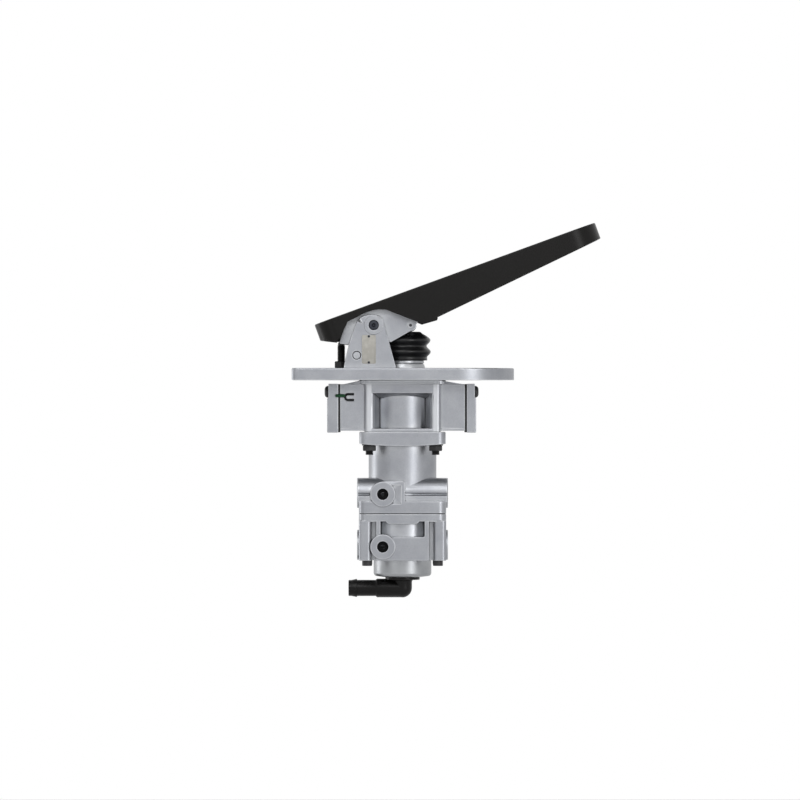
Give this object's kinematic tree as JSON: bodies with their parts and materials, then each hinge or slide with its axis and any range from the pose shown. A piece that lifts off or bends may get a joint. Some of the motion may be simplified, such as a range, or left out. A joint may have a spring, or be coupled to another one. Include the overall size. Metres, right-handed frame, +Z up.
{
  "type": "service brake valve",
  "caption": "Foot-operated dual-circuit air brake valve: pedal on a floor plate with ears, bellows, and ported valve body below with an exhaust elbow.",
  "frame": {"origin": "centre of the four fixing holes, on the valve axis at the underside of the mounting plate", "axes": "+Z up along the valve axis, +X from the pedal's heel to its tip, +Y across the pedal, away from the side that carries the two small ports"},
  "size_m": [0.308, 0.12, 0.3745],
  "materials": {
    "cast_aluminium": "fine shot-blasted casting, neutral grey",
    "pedal_black": "warm black glass-filled nylon, matt",
    "pad_rubber": "black ribbed rubber",
    "bellows_rubber": "black rubber with a soft shine",
    "seal_rubber": "black rubber",
    "bright_steel": "ground steel",
    "dark_steel": "black-oxide steel",
    "pin_steel": "dark ground steel",
    "bare_plate": "bare anodised sheet, pale beige",
    "bush_bronze": "sintered bronze",
    "vent_plastic": "black moulded plastic",
    "board_green": "green circuit board",
    "wire_green": "green moulded tag",
    "loop_black": "black cord",
    "spring_rubber": "hard black rubber"
  },
  "bodies": {
    "base": {"mounting_plate": "cast_aluminium", "type_plate": "bare_plate", "type_plate_rivets": "bright_steel", "pivot_pin": "pin_steel", "pivot_pin_clips": "dark_steel", "cross_pin": "bright_steel", "stop_bolt": "dark_steel", "stop_nut": "dark_steel", "guide_bush": "bush_bronze", "plunger_guide": "cast_aluminium", "upper_housing": "cast_aluminium", "left_cover": "cast_aluminium", "right_cover": "cast_aluminium", "left_cover_seal": "seal_rubber", "right_cover_seal": "seal_rubber", "left_sensor_board": "board_green", "right_sensor_board": "board_green", "cover_screws": "dark_steel", "housing_studs": "dark_steel", "housing_nuts": "dark_steel", "valve_upper_body": "cast_aluminium", "valve_lower_body": "cast_aluminium", "body_screws": "dark_steel", "housing_seal": "seal_rubber", "body_seal": "seal_rubber", "bottom_cap": "cast_aluminium", "exhaust_elbow": "vent_plastic", "exhaust_flap": "seal_rubber", "primary_valve_guide": "cast_aluminium", "seal_wire": "wire_green", "seal_loop": "loop_black"},
    "pedal": {"pedal_treadle": "pedal_black", "tread_pad": "pad_rubber", "pedal_lever": "cast_aluminium", "lever_bushes": "bush_bronze", "lever_screws": "bright_steel", "roller_pin": "dark_steel"},
    "roller": {"roller": "bright_steel"},
    "plunger": {"plunger_cap": "dark_steel", "plunger": "bright_steel", "boot": "bellows_rubber", "rubber_spring": "spring_rubber"},
    "primary_piston": {"primary_piston": "cast_aluminium", "primary_piston_seal": "seal_rubber", "piston_return_spring": "bright_steel"},
    "primary_valve": {"primary_valve_disc": "seal_rubber", "primary_valve_stem": "bright_steel", "primary_valve_spring": "bright_steel"},
    "relay_piston": {"relay_piston": "cast_aluminium", "relay_piston_seal": "seal_rubber"},
    "secondary_valve": {"secondary_valve_disc": "seal_rubber", "secondary_valve_stem": "bright_steel", "secondary_valve_spring": "bright_steel"}
  },
  "joints": [
    {"name": "pedal_pivot", "type": "hinge", "parent": "base", "child": "pedal", "pos_m": [-0.0287, 0, 0.0547], "axis": [0, 1, 0], "range_deg": [0, 16], "stiffness_Nm_per_rad": 25, "springref_deg": -11.46},
    {"name": "roller_spin", "type": "hinge", "parent": "pedal", "child": "roller", "pos_m": [0.008, 0, 0.05461], "axis": [0, 1, 0], "continuous": true},
    {"name": "plunger_slide", "type": "slide", "parent": "base", "child": "plunger", "axis": [0, 0, -1], "range_m": [0, 0.0103], "deforming": ["boot", "rubber_spring"]},
    {"name": "primary_piston_slide", "type": "slide", "parent": "base", "child": "primary_piston", "axis": [0, 0, -1], "range_m": [0, 0.0032], "deforming": ["piston_return_spring"]},
    {"name": "primary_valve_slide", "type": "slide", "parent": "base", "child": "primary_valve", "axis": [0, 0, -1], "range_m": [0, 0.00202], "deforming": ["primary_valve_spring"]},
    {"name": "relay_piston_slide", "type": "slide", "parent": "base", "child": "relay_piston", "axis": [0, 0, -1], "range_m": [0, 0.0028]},
    {"name": "secondary_valve_slide", "type": "slide", "parent": "base", "child": "secondary_valve", "axis": [0, 0, -1], "range_m": [0, 0.00182], "deforming": ["secondary_valve_spring"]}
  ],
  "couplings": [
    {"joint": "plunger_slide", "follows": "pedal_pivot", "m_per_rad": 0.036705},
    {"joint": "primary_piston_slide", "follows": "pedal_pivot", "m_per_rad": 0.01128},
    {"joint": "primary_valve_slide", "follows": "pedal_pivot", "m_per_rad": 0.007162},
    {"joint": "relay_piston_slide", "follows": "pedal_pivot", "m_per_rad": 0.009848},
    {"joint": "secondary_valve_slide", "follows": "pedal_pivot", "m_per_rad": 0.006446}
  ]
}
